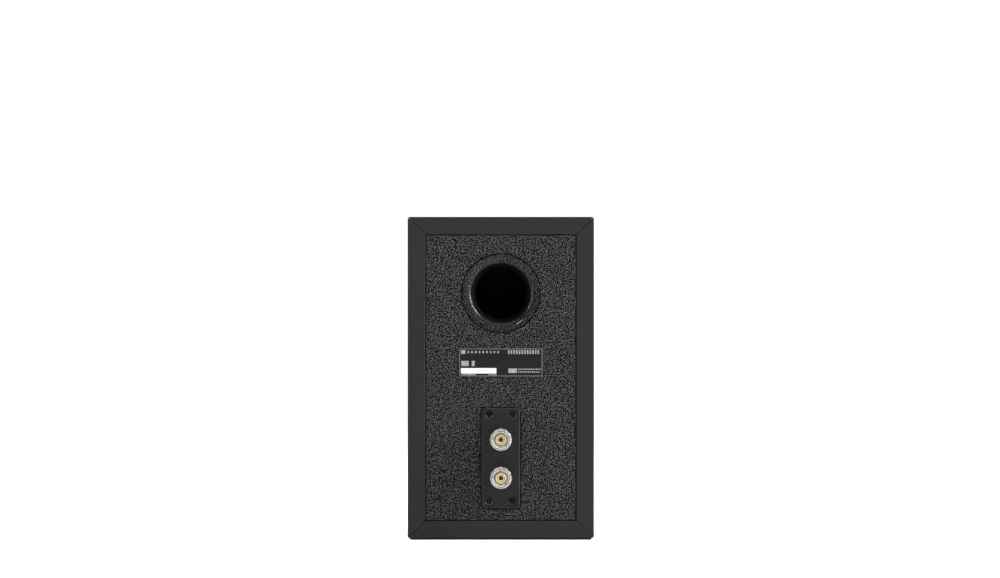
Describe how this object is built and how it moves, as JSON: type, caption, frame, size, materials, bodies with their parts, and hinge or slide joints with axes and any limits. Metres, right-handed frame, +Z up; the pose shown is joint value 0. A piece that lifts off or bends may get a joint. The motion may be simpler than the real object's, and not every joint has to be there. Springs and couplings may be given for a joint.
{
  "type": "bookshelf loudspeaker",
  "caption": "Two-way bookshelf loudspeaker in a black box with mitred rear edges, a flared rear reflex port, a blank rating label and a pair of clear screw-down binding posts.",
  "frame": {"origin": "middle of the bounding box in X and Y, at the underside of the base pad", "axes": "+Z up; the drivers face -Y and the port and terminals face +Y; +X is to the right of someone who faces the drivers"},
  "size_m": [0.18, 0.28, 0.312],
  "materials": {
    "vinyl_wrap": "black vinyl wrap over fibreboard, matt",
    "textured_wrap": "black pebbled wrap over fibreboard",
    "baffle_lacquer": "black satin lacquer over fibreboard",
    "black_plastic": "black moulded plastic",
    "rubber": "black rubber",
    "label_film": "printed black film",
    "clear_plastic": "clear moulded plastic",
    "red_plastic": "red moulded plastic",
    "gold_plate": "gold plate on brass, polished",
    "black_steel": "black oxide steel",
    "cast_frame": "black painted steel frame",
    "zinc_steel": "zinc plated steel",
    "ferrite": "sintered ferrite",
    "cone_paper": "coated paper, black",
    "silk": "coated silk, black",
    "spider_cloth": "treated cloth",
    "copper": "enamelled copper wire",
    "circuit_board": "brown board",
    "capacitor_film": "yellow film wrap",
    "wadding": "white polyester wadding",
    "lead_sheath": "red cable sheath"
  },
  "bodies": {
    "cabinet": {"top_panel": "vinyl_wrap", "bottom_panel": "vinyl_wrap", "left_panel": "vinyl_wrap", "right_panel": "vinyl_wrap", "front_baffle": "baffle_lacquer", "rear_panel": "textured_wrap", "base_pad": "rubber", "wadding": "wadding", "port_mouth": "black_plastic", "port_tube": "black_plastic", "rating_label": "label_film", "terminal_plate": "black_plastic", "terminal_screw_1": "black_steel", "terminal_screw_2": "black_steel", "terminal_screw_3": "black_steel", "terminal_screw_4": "black_steel", "woofer_basket": "cast_frame", "woofer_top_plate": "zinc_steel", "woofer_magnet": "ferrite", "woofer_yoke": "zinc_steel", "woofer_spider": "spider_cloth", "woofer_surround": "rubber", "woofer_trim_ring": "rubber", "woofer_tag_strip": "circuit_board", "woofer_screw_1": "black_steel", "woofer_screw_2": "black_steel", "woofer_screw_3": "black_steel", "woofer_screw_4": "black_steel", "tweeter_faceplate": "black_plastic", "tweeter_surround": "silk", "tweeter_top_plate": "zinc_steel", "tweeter_magnet": "ferrite", "tweeter_yoke": "zinc_steel", "tweeter_screw_1": "black_steel", "tweeter_screw_2": "black_steel", "tweeter_screw_3": "black_steel", "crossover_board": "circuit_board", "woofer_inductor": "copper", "tweeter_inductor": "copper", "tweeter_capacitor": "capacitor_film", "input_lead": "lead_sheath", "woofer_lead": "lead_sheath", "tweeter_lead": "lead_sheath", "positive_stud": "gold_plate", "positive_collar": "red_plastic", "positive_nut": "gold_plate", "negative_stud": "gold_plate", "negative_collar": "black_plastic", "negative_nut": "gold_plate"},
    "woofer_diaphragm": {"woofer_cone": "cone_paper", "woofer_dust_cap": "cone_paper", "woofer_voice_coil": "copper"},
    "tweeter_diaphragm": {"tweeter_dome": "silk", "tweeter_voice_coil": "copper"},
    "positive_clamp": {"positive_clamp_washer": "gold_plate"},
    "positive_knob": {"positive_knob": "clear_plastic", "positive_knob_insert": "gold_plate"},
    "negative_clamp": {"negative_clamp_washer": "gold_plate"},
    "negative_knob": {"negative_knob": "clear_plastic", "negative_knob_insert": "gold_plate"}
  },
  "joints": [
    {"name": "woofer_stroke", "type": "slide", "parent": "cabinet", "child": "woofer_diaphragm", "axis": [0, -1, 0], "range_m": [-0.004, 0.004], "stiffness_N_per_m": 1000, "deforming": ["woofer_surround", "woofer_spider"]},
    {"name": "tweeter_stroke", "type": "slide", "parent": "cabinet", "child": "tweeter_diaphragm", "axis": [0, -1, 0], "range_m": [-0.0003, 0.0003], "stiffness_N_per_m": 1500, "deforming": ["tweeter_surround"]},
    {"name": "positive_clamp_travel", "type": "slide", "parent": "cabinet", "child": "positive_clamp", "axis": [0, 1, 0], "range_m": [0, 0.005]},
    {"name": "positive_knob_turn", "type": "hinge", "parent": "positive_clamp", "child": "positive_knob", "pos_m": [0, 0.13, 0.0973], "axis": [0, 1, 0], "range_deg": [0, 1800]},
    {"name": "negative_clamp_travel", "type": "slide", "parent": "cabinet", "child": "negative_clamp", "axis": [0, 1, 0], "range_m": [0, 0.005]},
    {"name": "negative_knob_turn", "type": "hinge", "parent": "negative_clamp", "child": "negative_knob", "pos_m": [0, 0.13, 0.0605], "axis": [0, 1, 0], "range_deg": [0, 1800]}
  ],
  "couplings": [
    {"joint": "positive_knob_turn", "follows": "positive_clamp_travel", "rad_per_m": 6283},
    {"joint": "negative_knob_turn", "follows": "negative_clamp_travel", "rad_per_m": 6283}
  ]
}
